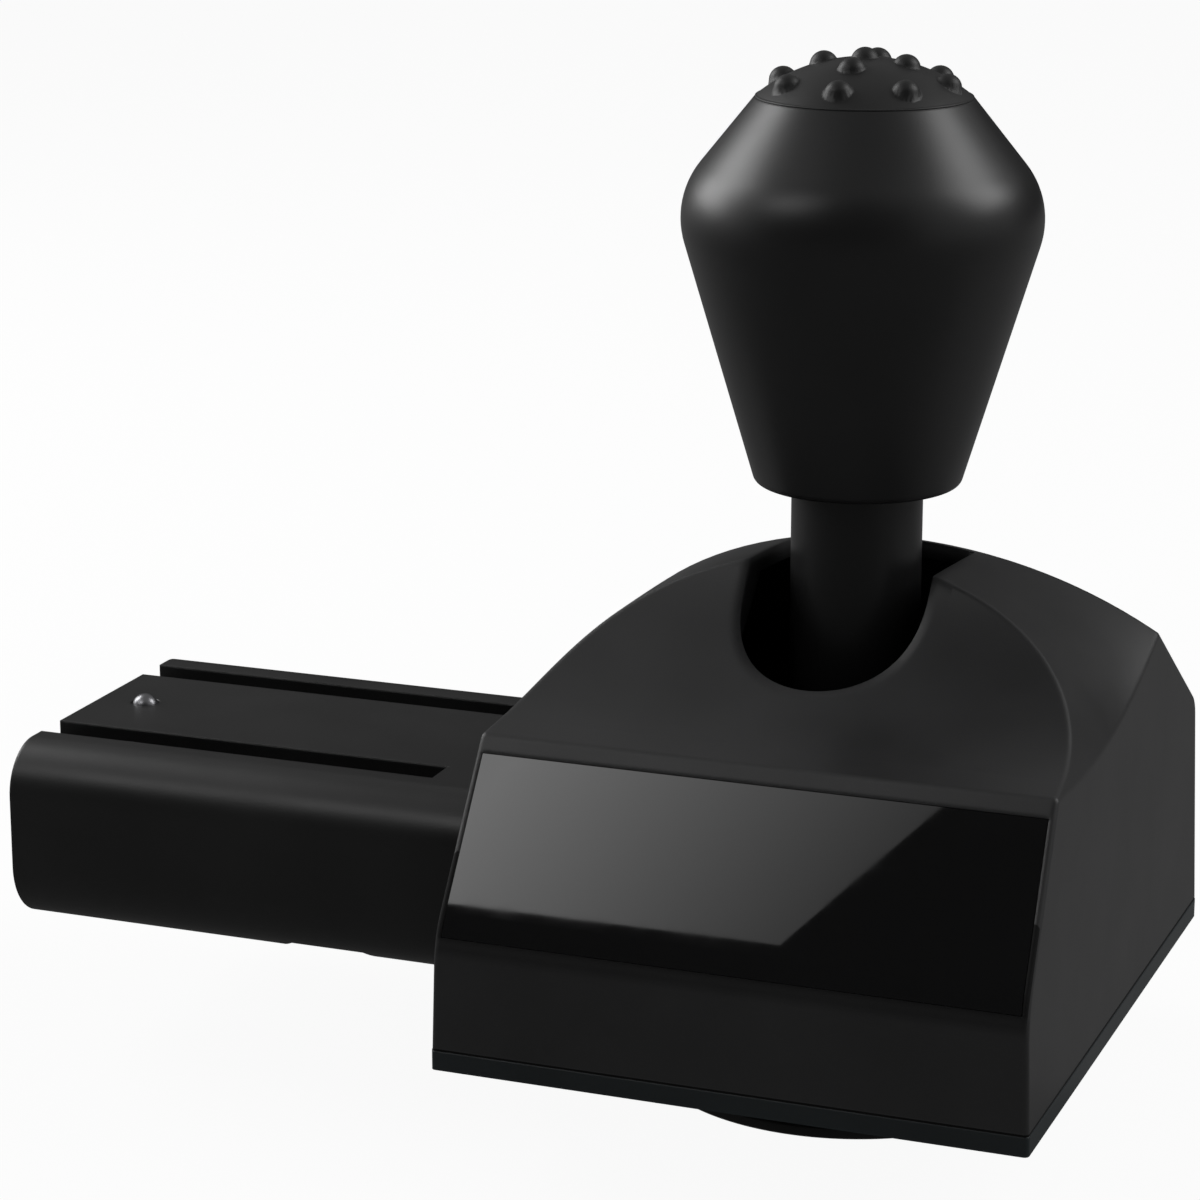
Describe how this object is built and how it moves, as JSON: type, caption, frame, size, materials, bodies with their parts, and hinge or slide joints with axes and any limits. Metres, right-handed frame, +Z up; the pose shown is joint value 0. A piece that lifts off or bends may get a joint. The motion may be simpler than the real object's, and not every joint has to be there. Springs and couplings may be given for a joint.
{
  "type": "sim racing gear shifter",
  "caption": "Sequential gear shifter with a sprung lever and bulbous knob, a wedge-shaped body on a suction foot, and a side arm with a lock pin that plugs into a wheel base.",
  "frame": {"origin": "on the desk plane, at the centre of the suction foot and under the lever's axis", "axes": "+X to the right as the driver sees it, away from the arm; +Y to the back, away from the driver; +Z up along the lever at rest"},
  "size_m": [0.1599, 0.0987, 0.1491],
  "materials": {
    "housing_plastic": "fine satin grain",
    "panel_gloss": "high gloss",
    "base_plastic": "satin",
    "foot_rubber": "smooth soft rubber",
    "arm_plastic": "satin",
    "knob_plastic": "satin moulded",
    "cap_rubber": "soft matt rubber",
    "lever_paint": "black powder coat",
    "steel": "turned",
    "bright_zinc": "zinc plated",
    "cast_zinc": "die cast",
    "brass": "machined",
    "bearing_plastic": "natural acetal",
    "board_laminate": "solder mask",
    "sensor_plastic": "moulded",
    "header_plastic": "moulded",
    "cable_jacket": "smooth jacket"
  },
  "bodies": {
    "base": {"housing": "housing_plastic", "front_panel": "panel_gloss", "base_plate": "base_plastic", "housing_screws": "bright_zinc", "suction_foot": "foot_rubber", "foot_stud": "bright_zinc", "foot_nut": "bright_zinc", "pivot_bracket": "cast_zinc", "bracket_screws": "bright_zinc", "pivot_pin": "steel", "pivot_clips": "steel", "guide_rod": "steel", "rod_clips": "steel", "stop_sleeves": "bearing_plastic", "centring_spring_front": "steel", "centring_spring_rear": "steel", "sensor_board": "board_laminate", "board_screws": "bright_zinc", "slot_sensors": "sensor_plastic", "board_header": "header_plastic", "arm_shell": "arm_plastic", "arm_screws": "bright_zinc", "arm_end_cap": "arm_plastic", "end_cap_screws": "bright_zinc", "arm_plug": "sensor_plastic", "plug_contacts": "brass", "lock_seat": "arm_plastic", "lock_spring": "steel", "cable": "cable_jacket"},
    "lever": {"lever_hub": "cast_zinc", "pivot_bushes": "brass", "lever_rod": "steel", "lever_nut": "bright_zinc", "lever_sleeve": "lever_paint", "knob": "knob_plastic", "knob_insert": "brass", "knob_cap": "cap_rubber"},
    "slider": {"slider": "bearing_plastic", "sensor_vane": "steel"},
    "lock_pin": {"lock_pin": "steel"}
  },
  "joints": [
    {"name": "lever_pivot", "type": "hinge", "parent": "base", "child": "lever", "pos_m": [0, 0, 0.042], "axis": [1, 0, 0], "range_deg": [-8, 8], "stiffness_Nm_per_rad": 2},
    {"name": "slider_travel", "type": "slide", "parent": "base", "child": "slider", "axis": [0, 1, 0], "range_m": [-0.00252, 0.00252], "deforming": ["centring_spring_front", "centring_spring_rear"]},
    {"name": "lock_pin_slide", "type": "slide", "parent": "base", "child": "lock_pin", "axis": [0, 0, 1], "range_m": [-0.0012, 0], "stiffness_N_per_m": 500, "springref_m": 0.004, "deforming": ["lock_spring"]}
  ],
  "couplings": [
    {"joint": "slider_travel", "follows": "lever_pivot", "m_per_rad": 0.018}
  ]
}
